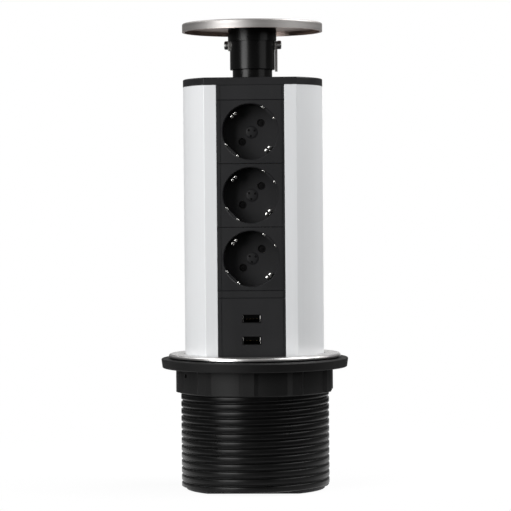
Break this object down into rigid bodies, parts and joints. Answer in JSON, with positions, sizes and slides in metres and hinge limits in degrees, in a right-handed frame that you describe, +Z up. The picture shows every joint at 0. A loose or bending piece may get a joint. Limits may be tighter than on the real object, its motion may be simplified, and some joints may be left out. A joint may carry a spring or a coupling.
{
  "type": "pop up desk socket",
  "caption": "Retractable desk socket: D-section aluminium tower with earthed round sockets and USB ports in a threaded collar with clamp nut, steel trim ring and push lid.",
  "frame": {"origin": "centre of the tower's base, at the lowest face", "axes": "+Z up along the tower's axis, -Y out of the flat front with the sockets"},
  "size_m": [0.135, 0.135, 0.3356],
  "materials": {
    "profile_aluminium": "satin anodised",
    "module_plastic": "fine matt",
    "cap_plastic": "fine matt",
    "neck_plastic": "semi gloss",
    "collar_plastic": "satin moulded",
    "trim_steel": "circular brushed",
    "lid_steel": "circular brushed",
    "screw_steel": "plated",
    "strip_steel": "plated",
    "contact_brass": "bright",
    "clip_steel": "nickel plated",
    "inner_plastic": "moulded",
    "board_green": "solder mask",
    "bush_rubber": "matt"
  },
  "bodies": {
    "collar": {"threaded_collar": "collar_plastic", "trim_ring": "trim_steel", "front_guide_upper": "collar_plastic", "front_guide_lower": "collar_plastic", "brake_pads": "bush_rubber"},
    "tower": {"tower_profile": "profile_aluminium", "top_cap": "cap_plastic", "top_cap_screws": "screw_steel", "lid_stem": "neck_plastic", "lid_stem_screws": "screw_steel", "pop_spring": "screw_steel", "blank_strip": "module_plastic", "spacer_strip": "module_plastic", "lower_cover": "module_plastic", "terminal_block": "inner_plastic", "live_busbar": "contact_brass", "neutral_busbar": "contact_brass", "earth_busbar": "contact_brass", "base_cap": "cap_plastic", "stop_plate": "cap_plastic", "base_screws": "screw_steel", "inlet_bush": "bush_rubber", "cord_clamp": "cap_plastic", "cord_clamp_screws": "screw_steel", "socket_screws": "screw_steel", "usb_front": "module_plastic", "usb_shells": "clip_steel", "usb_tongues": "inner_plastic", "usb_board": "board_green", "usb_transformer": "inner_plastic", "usb_capacitors": "inner_plastic", "usb_back": "inner_plastic", "socket_upper": "module_plastic", "socket_back_upper": "inner_plastic", "earth_strap_upper": "clip_steel", "contacts_upper": "contact_brass", "socket_middle": "module_plastic", "socket_back_middle": "inner_plastic", "earth_strap_middle": "clip_steel", "contacts_middle": "contact_brass", "socket_lower": "module_plastic", "socket_back_lower": "inner_plastic", "earth_strap_lower": "clip_steel", "contacts_lower": "contact_brass"},
    "lid": {"lid_plate": "lid_steel", "lid_neck": "neck_plastic", "lid_bracket": "strip_steel", "lid_screws": "screw_steel", "earth_strip": "strip_steel"},
    "washer": {"clamp_washer": "collar_plastic"},
    "nut": {"clamp_nut": "collar_plastic"}
  },
  "joints": [
    {"name": "tower_slide", "type": "slide", "parent": "collar", "child": "tower", "axis": [0, 0, 1], "range_m": [-0.238, 0]},
    {"name": "lid_press", "type": "slide", "parent": "tower", "child": "lid", "axis": [0, 0, 1], "range_m": [-0.0054, 0], "stiffness_N_per_m": 900, "springref_m": 0.004, "deforming": ["pop_spring"]},
    {"name": "washer_slide", "type": "slide", "parent": "collar", "child": "washer", "axis": [0, 0, 1], "range_m": [-0.05, 0]},
    {"name": "nut_spin", "type": "hinge", "parent": "washer", "child": "nut", "pos_m": [0, 0, 0.0787], "axis": [0, 0, 1], "range_deg": [-3396.2, 0]}
  ],
  "couplings": [
    {"joint": "washer_slide", "follows": "nut_spin", "m_per_rad": 0.00084352}
  ]
}
